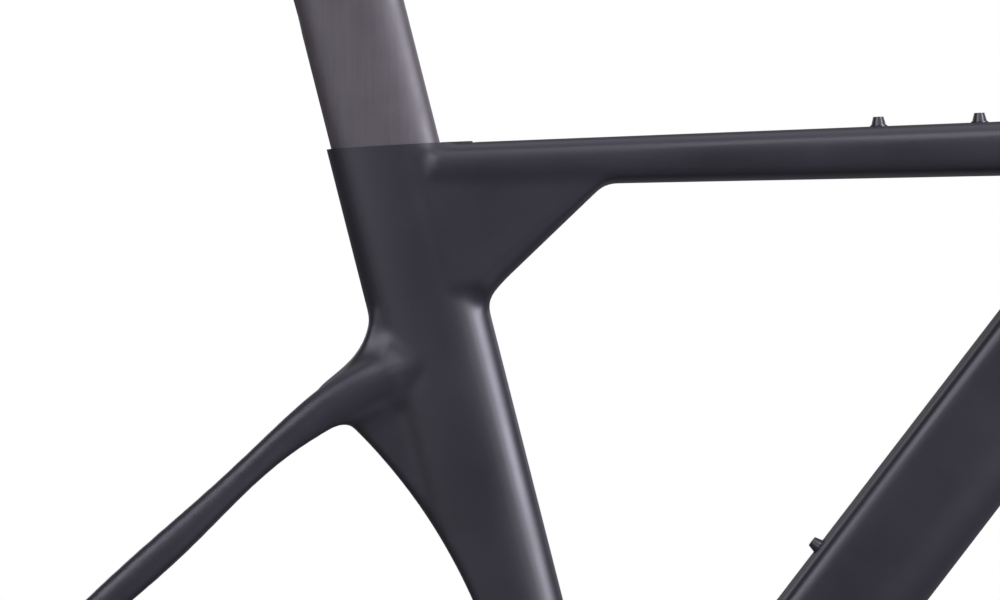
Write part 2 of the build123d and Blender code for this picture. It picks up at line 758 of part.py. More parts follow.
def bb_sleeve():
    """Thin tube that seals the space between the cups."""
    half = SHELL_HALF - CUP_LENGTH
    return ring(side_plane(0, -half, 0), BB_SLEEVE_RADIUS, BB_SLEEVE_RADIUS - BB_SLEEVE_WALL, 2 * half)


def headset_upper_plane():
    """Lower face of the upper bearing."""
    return head_plane(HEAD_LENGTH - HEAD_RECESS - UPPER_WIDTH)


def headset_lower_plane():
    """Lower face of the lower bearing."""
    return head_plane(HEAD_RECESS)


def compression_ring():
    """Split ring that centres the steerer in the upper bearing."""
    plane = headset_upper_plane()
    height = UPPER_WIDTH + RING_LIP_HEIGHT + RING_RISE
    body = ring(plane, UPPER_ID / 2, RING_BORE, height, RING_RISE)
    lip = ring(plane, UPPER_ID / 2 + RING_LIP, RING_BORE, RING_LIP_HEIGHT, UPPER_WIDTH + RING_RISE)
    slit = extrude(plane * Pos(UPPER_ID / 2, 0) * Rectangle(RING_SLIT_LENGTH, RING_SLIT), 2 * UPPER_WIDTH)
    return body + lip - slit


def top_cover():
    """Domed headset cover above the head tube."""
    plane = head_plane(HEAD_LENGTH + POST_GAP)
    body = rod(plane, COVER_RADIUS, COVER_HEIGHT)
    body = fillet(body.faces().sort_by(Axis.Z)[-1].edges(), COVER_ROUND)
    body -= rod(plane, RING_BORE + THREAD_GAP, COVER_HEIGHT + 2, -1)
    return body - rod(plane, UPPER_ID / 2 + RING_LIP + COVER_GAP, COVER_HOLLOW)


def seatpost():
    """Aero seatpost with the saddle clamp's head."""
    body = extrude(placed(seat_plane(POST_START), post_section()), POST_END - POST_START)
    head = seat_point(POST_END)
    barrel = rod(side_plane(head.X, -POST_WIDTH / 2, head.Z), HEAD_RADIUS, POST_WIDTH)
    body = body + barrel
    return body - rod(side_plane(head.X, -POST_WIDTH, head.Z), BARREL_RADIUS, 2 * POST_WIDTH)


def clamp_profile(points, half):
    """Outline in seat-line offsets (forward, along), thickened evenly about the middle plane."""
    spots = [seat_point(along, across) for across, along in points]
    return extrude(make_face(Polyline(*spots, close=True)), half, both=True)


def shoe_front(along):
    """Offset of the shoe's sloping front face."""
    share = (along - POCKET_START) / (SHOE_END - POCKET_START)
    return SHOE_FRONT_LOW + share * (SHOE_FRONT_HIGH - SHOE_FRONT_LOW)


def clamp_shoe():
    """Shoe between the post and the wedge, thicker at the top."""
    points = (
        (SHOE_REAR, POCKET_START),
        (shoe_front(POCKET_START), POCKET_START),
        (shoe_front(SHOE_END), SHOE_END),
        (SHOE_REAR, SHOE_END),
    )
    return clamp_profile(points, CLAMP_HALF - POST_GAP)


def clamp_wedge():
    """Threaded wedge that climbs the bolt and spreads the shoe towards the post."""
    end = WEDGE_START + WEDGE_HEIGHT
    points = (
        (shoe_front(WEDGE_START) + WEDGE_GAP, WEDGE_START),
        (WEDGE_FRONT, WEDGE_START),
        (WEDGE_FRONT, end),
        (shoe_front(end) + WEDGE_GAP, end),
    )
    hole = rod(seat_plane(WEDGE_START - 1, CLAMP_OFFSET), BOLT_M6 + THREAD_GAP, WEDGE_HEIGHT + 2)
    return clamp_profile(points, CLAMP_HALF - POST_GAP) - hole


def clamp_bridge():
    """Bridge across the pocket that carries the head of the clamp bolt."""
    mid = (POCKET_FRONT + SHOE_REAR) / 2
    outline = RectangleRounded(POCKET_FRONT - SHOE_REAR, 2 * CLAMP_HALF, POCKET_ROUND)
    body = extrude(seat_plane(BRIDGE_START, mid) * outline, BRIDGE_THICK)
    return body - rod(seat_plane(BRIDGE_START - 1, CLAMP_OFFSET), BOLT_M6 + THREAD_GAP, BRIDGE_THICK + 2)


def clamp_bolt():
    """M6 socket bolt of the wedge clamp."""
    start = BRIDGE_START + BRIDGE_THICK + POST_GAP
    shank = rod(seat_plane(WEDGE_START - 2, CLAMP_OFFSET), BOLT_M6, start - WEDGE_START + 2)
    head = rod(seat_plane(start, CLAMP_OFFSET), CLAMP_HEAD_RADIUS, CLAMP_HEAD_HEIGHT)
    floor = seat_plane(start + CLAMP_HEAD_HEIGHT - HEX_M6_DEPTH, CLAMP_OFFSET)
    return shank + head - extrude(floor * RegularPolygon(HEX_M6, 6), HEX_M6_DEPTH + 1)


def clamp_cover():
    """Rubber plug that closes the clamp's pocket, flush with the top tube."""
    rear = SHOE_REAR + POST_GAP
    outline = RectangleRounded(POCKET_FRONT - rear, 2 * CLAMP_HALF, POCKET_ROUND)
    body = extrude(seat_plane(PLUG_START, (POCKET_FRONT + rear) / 2) * outline, PLUG_DEPTH)
    crown = (0, 0, TOP_EDGE_Z + PLUG_PROUD)
    level = Plane(crown, x_dir=(1, 0, TOP_EDGE_SLOPE), z_dir=(-TOP_EDGE_SLOPE, 0, 1))
    return body - extrude(level * Rectangle(TOP_END_X, 2 * SEAT_HALF), PLUG_DEPTH * 2)


def saddle_centre():
    """Centre of the saddle clamp's barrel."""
    return seat_point(POST_END)


def jaw(low, high, sign):
    """Jaw block between two distances from the middle plane, with its half of the rail groove."""
    spot = saddle_centre()
    start = low if sign > 0 else -high
    outline = RectangleRounded(RAIL_CLAMP_LENGTH, JAW_HIGH - JAW_LOW, JAW_ROUND)
    face = Pos(0, -(JAW_LOW + JAW_HIGH) / 2) * outline
    block = extrude(side_plane(spot.X, start, spot.Z) * face, high - low)
    end = (spot.X - RAIL_CLAMP_LENGTH, sign * RAIL_HALF_SPACING, spot.Z + RAIL_LIFT)
    return block - rod(Plane(end, x_dir=(0, 1, 0), z_dir=(1, 0, 0)), RAIL_RADIUS, 2 * RAIL_CLAMP_LENGTH)


def saddle_hole():
    """Cross hole through the saddle clamp."""
    spot = saddle_centre()
    return rod(side_plane(spot.X, -2 * JAW_OUTER, spot.Z), BOLT_M6, 4 * JAW_OUTER)


def saddle_clamp_inner():
    """Pair of inner jaws with the barrels that turn in the post's head."""
    spot = saddle_centre()
    halves = []
    for sign in (1, -1):
        body = jaw(JAW_INNER, RAIL_HALF_SPACING - JAW_SPLIT / 2, sign)
        inner = POST_WIDTH / 2 - BARREL_DEPTH
        start = inner if sign > 0 else -JAW_INNER - BARREL_REACH
        length = JAW_INNER + BARREL_REACH - inner
        body += rod(side_plane(spot.X, start, spot.Z), BARREL_RADIUS - BARREL_FIT, length)
        halves.append((body - saddle_hole()).solid())
    return halves


def saddle_clamp_outer():
    """Pair of outer jaws."""
    start = RAIL_HALF_SPACING + JAW_SPLIT / 2
    return [(jaw(start, JAW_OUTER, sign) - saddle_hole()).solid() for sign in (1, -1)]


def saddle_bolt():
    """Cross bolt of the saddle clamp, head on the right side."""
    spot = saddle_centre()
    shank = rod(side_plane(spot.X, -JAW_OUTER, spot.Z), BOLT_M6, 2 * JAW_OUTER + NUT_THICK)
    start = -JAW_OUTER - SADDLE_BOLT_HEAD_LENGTH
    head = rod(side_plane(spot.X, start, spot.Z), SADDLE_BOLT_HEAD, SADDLE_BOLT_HEAD_LENGTH)
    return shank + head - extrude(side_plane(spot.X, start, spot.Z) * RegularPolygon(HEX_M6, 6), HEX_M6_DEPTH)


def saddle_nut():
    """Flanged nut of the saddle clamp's bolt."""
    spot = saddle_centre()
    plane = side_plane(spot.X, JAW_OUTER, spot.Z)
    body = extrude(plane * RegularPolygon(NUT_RADIUS, 6), NUT_THICK)
    body += rod(plane, NUT_FLANGE, NUT_FLANGE_THICK)
    return body - rod(plane, BOLT_M6, NUT_THICK + 1)


def rear_axle():
    """Thru-axle, head on the left."""
    low = -HUB_WIDTH / 2 - HANGER_THICK - AXLE_END
    start = HUB_WIDTH / 2 + DROPOUT_THICK + WASHER_THICK + 2 * WASHER_GAP
    shaft = rod(side_plane(AXLE_X, low, AXLE_Z), AXLE_RADIUS, start - low)
    head = rod(side_plane(AXLE_X, start, AXLE_Z), AXLE_HEAD_RADIUS, AXLE_HEAD_LENGTH)
    head = chamfer(head.faces().sort_by(Axis.Y)[-1].edges(), AXLE_HEAD_ROUND)
    floor = side_plane(AXLE_X, start + AXLE_HEAD_LENGTH - AXLE_KEY_DEPTH, AXLE_Z)
    socket = extrude(floor * RegularPolygon(AXLE_KEY, 6), AXLE_KEY_DEPTH + 1)
    bore = rod(side_plane(AXLE_X, low - 1, AXLE_Z), AXLE_BORE, start)
    return shaft + head - socket - bore


def axle_washer():
    """Washer under the head of the axle."""
    plane = side_plane(AXLE_X, HUB_WIDTH / 2 + DROPOUT_THICK + WASHER_GAP, AXLE_Z)
    return ring(plane, WASHER_RADIUS, AXLE_RADIUS + AXLE_FIT, WASHER_THICK)


def bb_seal(sign):
    """Dust seal in front of a bottom bracket bearing."""
    plane = bb_plane(sign).offset(BB_BEARING_WIDTH + POST_GAP)
    return ring(plane, BB_BEARING_OD / 2, BB_BEARING_ID / 2 + SEAL_LIP, CUP_FLANGE - POST_GAP)


def bottom_bracket_nodes():
    """Cups, bearings, balls, seals and sleeve of the bottom bracket."""
    nodes = {"bb_sleeve": bb_sleeve()}
    pitch = (BB_BEARING_OD + BB_BEARING_ID) / 4
    outers = []
    rolling = []
    seals = []
    for side, sign in (("right", -1), ("left", 1)):
        plane = bb_plane(sign)
        outer, inner = race_pair(plane, BB_BEARING_OD, BB_BEARING_ID, BB_BEARING_WIDTH, BB_BALL)
        nodes[f"bb_cup_{side}"] = bb_cup(sign)
        nodes[f"bb_inner_race_{side}"] = inner
        outers.append(outer.solid())
        rolling += balls(plane.offset(BB_BEARING_WIDTH / 2), pitch, BB_BALL, BB_BALLS)
        seals.append(bb_seal(sign).solid())
    nodes["bb_outer_races"] = Compound(outers)
    nodes["bb_balls"] = Compound([b.solid() for b in rolling])
    nodes["bb_seals"] = Compound(seals)
    return nodes


def headset_nodes():
    """Both headset bearings, compression ring and cover."""
    upper_outer, upper_inner = race_pair(headset_upper_plane(), UPPER_OD, UPPER_ID, UPPER_WIDTH, HEADSET_BALL)
    lower_outer, lower_inner = race_pair(headset_lower_plane(), LOWER_OD, LOWER_ID, LOWER_WIDTH, HEADSET_BALL)
    upper_middle = headset_upper_plane().offset(UPPER_WIDTH / 2)
    lower_middle = headset_lower_plane().offset(LOWER_WIDTH / 2)
    upper_balls = balls(upper_middle, (UPPER_OD + UPPER_ID) / 4, HEADSET_BALL, UPPER_BALLS)
    lower_balls = balls(lower_middle, (LOWER_OD + LOWER_ID) / 4, HEADSET_BALL, LOWER_BALLS)
    return {
        "headset_outer_races": Compound([upper_outer.solid(), lower_outer.solid()]),
        "headset_balls": Compound([b.solid() for b in upper_balls + lower_balls]),
        "headset_upper_inner_race": upper_inner,
        "headset_lower_inner_race": lower_inner,
        "headset_compression_ring": compression_ring(),
        "headset_cover": top_cover(),
    }


def frame_nodes():
    """Tubes, stays and dropouts of the frame."""
    return {
        "head_tube": head_tube(),
        "top_tube": top_tube(),
        "top_tube_gusset": gusset(),
        "head_web": head_web(),
        "down_tube": down_tube(),
        "seat_tube": seat_tube(),
        "bottom_bracket_shell": bottom_bracket_shell(),
        "seatstay_yoke": yoke(),
        "seatstay_right": seatstay(-1),
        "seatstay_left": seatstay(1),
        "chainstay_right": chainstay(-1),
        "chainstay_left": chainstay(1),
        "dropout_right": dropout(-1),
        "dropout_left": dropout(1),
        "derailleur_hanger": derailleur_hanger(),
        "hanger_screw": hanger_screw(),
        "brake_plate": brake_plate(),
        "hose_grommet": grommet(1),
        "wire_grommet": grommet(-1),
    }


def hardware_nodes():
    """Post, clamps, axle and the bosses with their bolts."""
    return {
        "bottle_inserts": Compound([insert(p).solid() for p in bottle_planes()]),
        "bottle_bolts": Compound([key_bolt(p).solid() for p in bottle_planes()]),
        "bag_inserts": Compound([insert(p).solid() for p in bag_planes()]),
        "bag_bolts": Compound([key_bolt(p).solid() for p in bag_planes()]),
        "seatpost": seatpost(),
        "seat_clamp_shoe": clamp_shoe(),
        "seat_clamp_wedge": clamp_wedge(),
        "seat_clamp_bridge": clamp_bridge(),
        "seat_clamp_bolt": clamp_bolt(),
        "seat_clamp_cover": clamp_cover(),
        "saddle_clamp_inner": Compound(saddle_clamp_inner()),
        "saddle_clamp_outer": Compound(saddle_clamp_outer()),
        "saddle_clamp_bolt": saddle_bolt(),
        "saddle_clamp_nut": saddle_nut(),
        "rear_axle": rear_axle(),
        "axle_washer": axle_washer(),
    }


def main():
    """Write one STEP file per subcomponent."""
    os.makedirs("parts", exist_ok=True)
    nodes = frame_nodes() | hardware_nodes() | bottom_bracket_nodes() | headset_nodes()
    for name, shape in nodes.items():
        export_step(shape, f"parts/{name}.step")


main()
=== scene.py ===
import json
import math

import bmesh
import bpy
import numpy as np
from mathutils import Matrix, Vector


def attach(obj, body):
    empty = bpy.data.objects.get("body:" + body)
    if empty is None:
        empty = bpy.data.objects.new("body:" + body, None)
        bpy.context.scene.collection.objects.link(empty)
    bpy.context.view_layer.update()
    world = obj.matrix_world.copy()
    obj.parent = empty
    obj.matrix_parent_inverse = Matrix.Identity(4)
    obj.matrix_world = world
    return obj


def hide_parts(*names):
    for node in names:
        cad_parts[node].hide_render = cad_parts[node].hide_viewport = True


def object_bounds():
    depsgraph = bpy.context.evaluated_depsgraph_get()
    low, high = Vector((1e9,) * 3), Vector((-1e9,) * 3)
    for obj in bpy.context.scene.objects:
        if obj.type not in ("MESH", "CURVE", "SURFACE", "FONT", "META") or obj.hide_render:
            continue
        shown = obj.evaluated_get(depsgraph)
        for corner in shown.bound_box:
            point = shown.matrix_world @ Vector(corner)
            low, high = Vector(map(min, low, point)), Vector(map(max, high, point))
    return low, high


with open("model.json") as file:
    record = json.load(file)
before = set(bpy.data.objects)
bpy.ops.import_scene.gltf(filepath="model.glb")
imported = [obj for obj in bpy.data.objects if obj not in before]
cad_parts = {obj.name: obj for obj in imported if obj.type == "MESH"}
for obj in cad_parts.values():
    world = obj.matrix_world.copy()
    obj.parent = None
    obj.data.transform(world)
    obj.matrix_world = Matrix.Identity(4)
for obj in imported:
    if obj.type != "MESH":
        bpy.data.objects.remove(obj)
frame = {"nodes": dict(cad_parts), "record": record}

import openvdb
from mathutils import Vector

# Lengths named here are in millimetres, apart from the stage, lights and camera, which are in metres.
CAD_BOX = [[float(c) for c in p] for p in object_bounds()]
MM = 0.001
RECORD = frame["record"]
JOINTS = {j["name"]: j for j in RECORD["behaviour"]["joints"]}
MOUNTS = {m["name"]: m for m in RECORD["mounts"]}

# directions and places taken from the frame
ORIGIN = (0, 0, 0)
FORE = (1, 0, 0)
LEFT = (0, 1, 0)
RIGHT = (0, -1, 0)
SEAT_UP = Vector(JOINTS["seatpost_height"]["axis"])
SEAT_FORE = Vector((SEAT_UP.z, 0, -SEAT_UP.x))
HEAD_UP = Vector(JOINTS["steerer_turn_lower"]["axis"])
HEAD_FORE = Vector((HEAD_UP.z, 0, -HEAD_UP.x))
HALF_LOWER_SEAT = 4.5
HEAD_LOW = Vector(MOUNTS["steerer_lower"]["pos_m"]) - HALF_LOWER_SEAT * MM * HEAD_UP
AXLE = Vector(MOUNTS["rear_hub"]["pos_m"])

# pieces of the frame that the seamless skin stands for
SKIN_NODES = (
    "head_tube", "top_tube", "top_tube_gusset", "head_web", "down_tube", "seat_tube", "bottom_bracket_shell",
    "seatstay_yoke", "seatstay_right", "seatstay_left", "chainstay_right", "chainstay_left",
    "dropout_right", "dropout_left",
)

# grid of the skin
VOXEL = 1.6
CORNER_FILL = 12.0
EDGE_ROUND = 3.0
HOLLOW_SOFT = 4.0
BLUR_ROUNDS = 2
HOLLOW_BAND = 7

# section of the seat tube and of the post: superellipse powers of the nose and the tail
NOSE, TAIL = 2.1, 2.8
SEAT_FRONT, SEAT_REAR, SEAT_HALF = 37.3, 35.8, 18.0
SOCKET_FROM, SOCKET_TO = 305, 545
CHEEK_HALF = 16.6
POST_DEPTH, POST_HALF, POST_GAP = 32.9, 14.0, 0.5
POST_HOLE_FROM, POST_HOLE_TO = 440, 560

# ring that fills the head tube's lower end out to its full width
HEAD_FRONT, HEAD_REAR, HEAD_HALF = 33.0, 30.0, 30.5
HEAD_RING_FROM, HEAD_RING_TO = -14, 3

# roots of the seat stays, a ridge along each flank: x, y and z of the ridge, y and z of the crown, inner y, low z
ROOT = (
    (-98.0, 15.0, 360.0, 14.0, 366.0, 0.0, 352.0),
    (-106.0, 18.4, 357.8, 16.0, 370.0, 0.0, 350.0),
    (-125.0, 23.5, 351.6, 15.0, 374.0, 0.0, 344.0),
    (-134.0, 25.4, 348.0, 11.5, 373.0, 0.0, 341.0),
    (-142.0, 26.9, 344.4, 9.5, 365.5, 0.0, 338.0),
    (-147.0, 27.8, 341.7, 10.0, 359.8, 0.0, 336.0),
    (-159.3, 29.9, 334.6, 14.0, 348.4, 6.0, 327.0),
    (-171.6, 32.0, 325.4, 20.0, 337.4, 14.0, 319.0),
    (-181.0, 33.1, 317.4, 24.5, 328.8, 22.0, 312.0),
    (-190.0, 33.6, 309.5, 27.0, 320.0, 26.0, 306.0),
)

# hollows under those ridges: x, y and z of the ridge, depth, drop to the deepest line
UNDER = (
    (-98.0, 21.0, 361.0, 0.0, 6.0),
    (-106.0, 20.4, 358.4, 1.6, 9.0),
    (-112.0, 21.2, 356.0, 4.2, 12.0),
    (-125.0, 24.2, 351.4, 7.4, 15.0),
    (-147.0, 28.6, 341.2, 7.8, 17.0),
    (-159.3, 30.8, 334.2, 7.4, 16.0),
    (-171.6, 33.0, 324.8, 6.2, 15.0),
    (-190.0, 35.6, 308.7, 3.6, 13.0),
    (-212.0, 41.0, 288.0, 0.0, 9.0),
)
UNDER_OUTSIDE = 30
UNDER_FOOT_DROP = 2.1
UNDER_FOOT_DEPTH = 0.3

# upper edge of the collar, seen from the side: x and z, with everything above it cut away
COLLAR_SLOPE = math.tan(math.radians(3.4))
COLLAR_CUT = ((-230, 489.8 - 70.1 * COLLAR_SLOPE), (-92.3, 493.85), (-55, 495.05), (-55, 640), (-230, 640))
COLLAR_CUT_HALF = 60

# round cuts along the head tube, from its lower end: from, to, radius
HEAD_CUTS = (
    (-40, 0, 70),  # lower end face
    (-5, 120, 19.0),  # channel for the steerer
    (-5, 8, 26.0),  # seat of the lower bearing
    (96.5, 120, 20.9),  # seat of the upper bearing
    (104, 150, 25.0),  # room for the cover
)
SHELL_HALF = 43.25
SHELL_FACE = 60
SHELL_BORE = 20.5
AXLE_HOLE = 6.1
AXLE_REACH = 100
SHARP_FROM = math.radians(32)


# ---------------------------------------------------------------- meshes
def triangles(obj):
    """Points in millimetres and triangles of an object's mesh."""
    mesh = obj.data
    mesh.calc_loop_triangles()
    points = np.zeros(len(mesh.vertices) * 3, np.float32)
    mesh.vertices.foreach_get("co", points)
    faces = np.zeros(len(mesh.loop_triangles) * 3, np.int32)
    mesh.loop_triangles.foreach_get("vertices", faces)
    return points.reshape(-1, 3) * 1000, faces.reshape(-1, 3).astype(np.uint32)


def object_from(name, points, faces):
    """Object in the scene from points in metres and faces."""
    mesh = bpy.data.meshes.new(name)
    mesh.from_pydata([tuple(p) for p in points], [], [tuple(int(i) for i in f) for f in faces])
    mesh.validate()
    mesh.update()
    obj = bpy.data.objects.new(name, mesh)
    bpy.context.scene.collection.objects.link(obj)
    return obj


def flip_if_needed(obj):
    """Turn a closed mesh's faces outwards."""
    bm = bmesh.new()
    bm.from_mesh(obj.data)
    if bm.calc_volume(signed=True) < 0:
        bmesh.ops.reverse_faces(bm, faces=bm.faces)
    bm.to_mesh(obj.data)
    bm.free()


def outline(front, rear, half, nose, tail, count=96):
    """Superellipse section in the plane, x towards the front."""
    angles = np.arange(count) * 2 * math.pi / count
    c, s = np.cos(angles), np.sin(angles)
    power = np.where(c > 0, nose, tail)
    reach = np.where(c > 0, front, rear)
    x = np.sign(c) * reach * np.abs(c) ** (2 / power)
    y = np.sign(s) * half * np.abs(s) ** (2 / power)
    return np.stack([x, y], 1)


def circle(radius, count=96):
    return outline(radius, radius, radius, 2, 2, count)


def loft(rings):
    """Closed shape through rings of as many points each, in millimetres."""
    n = len(rings[0])
    points = [point for ring in rings for point in ring]
    tris = []
    for level in range(len(rings) - 1):
        a, b = level * n, (level + 1) * n
        for k in range(n):
            m = (k + 1) % n
            tris += [(a + k, a + m, b + m), (a + k, b + m, b + k)]
    low, high, top = len(points), len(points) + 1, (len(rings) - 1) * n
    points += [np.mean(rings[0], 0), np.mean(rings[-1], 0)]
    for k in range(n):
        m = (k + 1) % n
        tris += [(low, m, k), (high, top + k, top + m)]
    return np.array(points, np.float32), np.array(tris, np.uint32)


def prism(shape, start, end, origin, across, along):
    """Closed prism of one outline from start to end in millimetres, on an origin in metres."""
    along = np.array(along, float) / np.linalg.norm(along)
    across = np.array(across, float) / np.linalg.norm(across)
    side = np.cross(along, across)
    base = np.array(origin) * 1000
    return loft([[base + along * h + across * u + side * v for u, v in shape] for h in (start, end)])


# ---------------------------------------------------------------- distance fields
def level_set(points, tris, quads, voxel, outside, inside):
    """Distance grid around a closed mesh, in bands of so many voxels outside and inside."""
    transform = openvdb.createLinearTransform(voxelSize=voxel)
    return openvdb.FloatGrid.createLevelSetFromPolygons(
        points, triangles=tris, quads=quads, transform=transform, exBandWidth=outside, inBandWidth=inside
    )


def dense(grid, shape, corner):
    """Array of a grid's values over a box of voxels."""
    field = np.empty(shape, np.float32)
    grid.copyToArray(field, ijk=corner)
    return field


def sparse(field, background, voxel, corner):
    """Grid from an array of values over a box of voxels."""
    grid = openvdb.FloatGrid(float(background))
    grid.transform = openvdb.createLinearTransform(voxelSize=voxel)
    grid.copyFromArray(field, ijk=corner, tolerance=1e-5)
    return grid


def sample(field, where):
    """Trilinear samples of a dense field at fractional indices."""
    base = np.clip(np.floor(where).astype(np.int32), 0, np.array(field.shape) - 2)
    part = where - base
    total = np.zeros(len(where))
    for i in (0, 1):
        for j in (0, 1):
            for k in (0, 1):
                weight = (
                    (part[:, 0] if i else 1 - part[:, 0])
                    * (part[:, 1] if j else 1 - part[:, 1])
                    * (part[:, 2] if k else 1 - part[:, 2])
                )
                total += weight * field[base[:, 0] + i, base[:, 1] + j, base[:, 2] + k]
    return total


def blur(field, rounds):
    """Small separable smoothing of a dense field."""
    for _ in range(rounds):
        for axis in range(3):
            ahead = np.roll(field, 1, axis)
            behind = np.roll(field, -1, axis)
            field = 0.5 * field + 0.25 * (ahead + behind)
    return field


def settle(points, field, start, voxel, level, rounds=3):
    """Move points onto the surface where the field has one level."""
    for _ in range(rounds):
        where = points / voxel - start
        value = sample(field, where) - level
        steps = np.eye(3) * 0.5
        slope = np.stack([(sample(field, where + s) - sample(field, where - s)) / voxel for s in steps], axis=1)
        size = np.maximum((slope ** 2).sum(1), 0.05)
        points -= slope * (value / size)[:, None]
    return points


def scooped(field, hollow, level, voxel, shape, corner):
    """Field with one hollow taken out of its solid, with a soft edge."""
    points, tris = hollow
    scoop = level - dense(level_set(points, tris, None, voxel, HOLLOW_BAND + 1, 12), shape, corner)
    gap = np.maximum(1 - np.abs(field - scoop) / HOLLOW_SOFT, 0)
    softened = np.maximum(field, scoop) + gap * gap * HOLLOW_SOFT / 4
    return np.where(scoop > level - HOLLOW_BAND * voxel, softened, field)


def skin_mesh(shells, hollows, voxel, fill, round_off):
    """One seamless shell around solids: inside corners filled to one radius, outside edges rounded to another.

    The union is grown by the fill and shrunk again, which fills the corners. It is then shrunk further and grown
    back by the rounding, which takes the edges off. Last, the hollows are scooped out of it.
    """
    margin = fill + 6 * voxel
    low = np.min([p.min(0) for p, t in shells], axis=0) - margin
    high = np.max([p.max(0) for p, t in shells], axis=0) + margin
    start = np.floor(low / voxel).astype(int)
    shape = tuple(int(v) for v in np.ceil(high / voxel).astype(int) - start)
    corner = tuple(int(v) for v in start)
    reach = fill / voxel + 4
    union = np.full(shape, reach * voxel, np.float32)
    for points, tris in shells:
        np.minimum(union, dense(level_set(points, tris, None, voxel, reach, 3), shape, corner), out=union)
    points, tris, quads = sparse(union, reach * voxel, voxel, corner).convertToPolygons(isovalue=fill)
    depth = (fill + round_off) / voxel + 4
    shrunk = level_set(points, tris, quads, voxel, 3, depth)
    points, tris, quads = shrunk.convertToPolygons(isovalue=-fill - round_off)
    field = dense(level_set(points, tris, quads, voxel, round_off / voxel + 4, 4), shape, corner)
    for hollow in hollows:
        field = scooped(field, hollow, round_off, voxel, shape, corner)
    field = blur(field, BLUR_ROUNDS)
    points, quads = sparse(field, field.max(), voxel, corner).convertToQuads(isovalue=round_off)
    return settle(points.astype(np.float64), field, start, voxel, round_off) * MM, quads


# ---------------------------------------------------------------- the frame's skin
def seat_point(along, across):
    """Place in the seat tube's middle plane, in metres."""
    return SEAT_UP * along * MM + SEAT_FORE * across * MM


def socket_fill():
    """The seat tube's section, run on through its socket to above the collar."""
    shape = outline(SEAT_FRONT, SEAT_REAR, SEAT_HALF, NOSE, TAIL)
    return prism(shape, SOCKET_FROM, SOCKET_TO, ORIGIN, SEAT_FORE, SEAT_UP)


def cheek_fill():
    """Flat sides that join the seat tube, the filled corner and the top tube."""
    rim = (
        seat_point(412, 4), seat_point(412, 33), Vector((0.006, 0, 0.4665)), Vector((0.010, 0, 0.486)),
        seat_point(505, 4),
    )
    shape = [(p.x * 1000, p.z * 1000) for p in rim]
    return prism(shape, -CHEEK_HALF, CHEEK_HALF, ORIGIN, FORE, RIGHT)


def stay_root(side):
    """Root of one seat stay, with its ridge along the seat tube's flank."""
    return loft([
        [(x, side * inner, low), (x, side * ry, rz), (x, side * cy, cz), (x, side * inner, cz)]
        for x, ry, rz, cy, cz, inner, low in ROOT
    ])


def root_hollow(side):
    """What is scooped out under the ridge of one stay's root."""
    rings = []
    for x, y, z, depth, drop in UNDER:
        outer = side * (y + UNDER_OUTSIDE)
        foot = z - UNDER_FOOT_DROP * drop
        rings.append([
            (x, side * y, z), (x, outer, z), (x, outer, foot),
            (x, side * (y - UNDER_FOOT_DEPTH * depth), foot), (x, side * (y - depth), z - drop),
        ])
    return loft(rings)


def head_ring():
    """Ring of full width at the head tube's lower end."""
    shape = outline(HEAD_FRONT, HEAD_REAR, HEAD_HALF, NOSE, NOSE)
    return prism(shape, HEAD_RING_FROM, HEAD_RING_TO, HEAD_LOW, HEAD_FORE, HEAD_UP)


def cut(obj, shape):
    """Subtract a closed shape from an object."""
    cutter = object_from("cutter", shape[0] * MM, shape[1])
    flip_if_needed(cutter)
    mod = obj.modifiers.new("cut", "BOOLEAN")
    mod.operation = "DIFFERENCE"
    mod.solver = "MANIFOLD"
    mod.object = cutter
    bpy.context.view_layer.update()
    graph = bpy.context.evaluated_depsgraph_get()
    mesh = bpy.data.meshes.new_from_object(obj.evaluated_get(graph))
    obj.modifiers.clear()
    old = obj.data
    obj.data = mesh
    bpy.data.meshes.remove(old)
    bpy.data.objects.remove(cutter)


def cut_faces_and_holes(skin):
    """Give the skin its crisp faces, bores and holes."""
    cut(skin, prism(COLLAR_CUT, -COLLAR_CUT_HALF, COLLAR_CUT_HALF, ORIGIN, FORE, RIGHT))
    depth = POST_DEPTH + POST_GAP
    post_hole = outline(depth, depth, POST_HALF + POST_GAP, NOSE, TAIL)
    cut(skin, prism(post_hole, POST_HOLE_FROM, POST_HOLE_TO, ORIGIN, SEAT_FORE, SEAT_UP))
    for start, end, radius in HEAD_CUTS:
        cut(skin, prism(circle(radius), start, end, HEAD_LOW, HEAD_FORE, HEAD_UP))
    for side in (RIGHT, LEFT):
        cut(skin, prism(circle(SHELL_FACE), SHELL_HALF, 70, ORIGIN, FORE, side))
    cut(skin, prism(circle(SHELL_BORE), -SHELL_FACE, SHELL_FACE, ORIGIN, FORE, LEFT))
    cut(skin, prism(circle(AXLE_HOLE, 48), -AXLE_REACH, AXLE_REACH, AXLE, FORE, LEFT))


def frame_skin():
    """The frame's carbon tubes, stays and dropouts as one seamless piece."""
    shells = [triangles(frame["nodes"][n]) for n in SKIN_NODES]
    shells += [socket_fill(), cheek_fill(), stay_root(-1), stay_root(1), head_ring()]
    hollows = [root_hollow(-1), root_hollow(1)]
    points, quads = skin_mesh(shells, hollows, VOXEL, CORNER_FILL, EDGE_ROUND)
    skin = object_from("frame_skin", points, quads[:, ::-1])
    flip_if_needed(skin)
    cut_faces_and_holes(skin)
    mesh = skin.data
    mesh.materials.clear()
    mesh.polygons.foreach_set("material_index", [0] * len(mesh.polygons))
    mesh.polygons.foreach_set("use_smooth", [True] * len(mesh.polygons))
    mesh.set_sharp_from_angle(angle=SHARP_FROM)
    return skin


skin = frame_skin()
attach(skin, "frame")
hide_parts(*SKIN_NODES)


# ---------------------------------------------------------------- materials
def material(name):
    """New material with its node tree and shader."""
    mat = bpy.data.materials.new(name)
    mat.use_nodes = True
    tree = mat.node_tree
    return mat, tree, tree.nodes["Principled BSDF"]


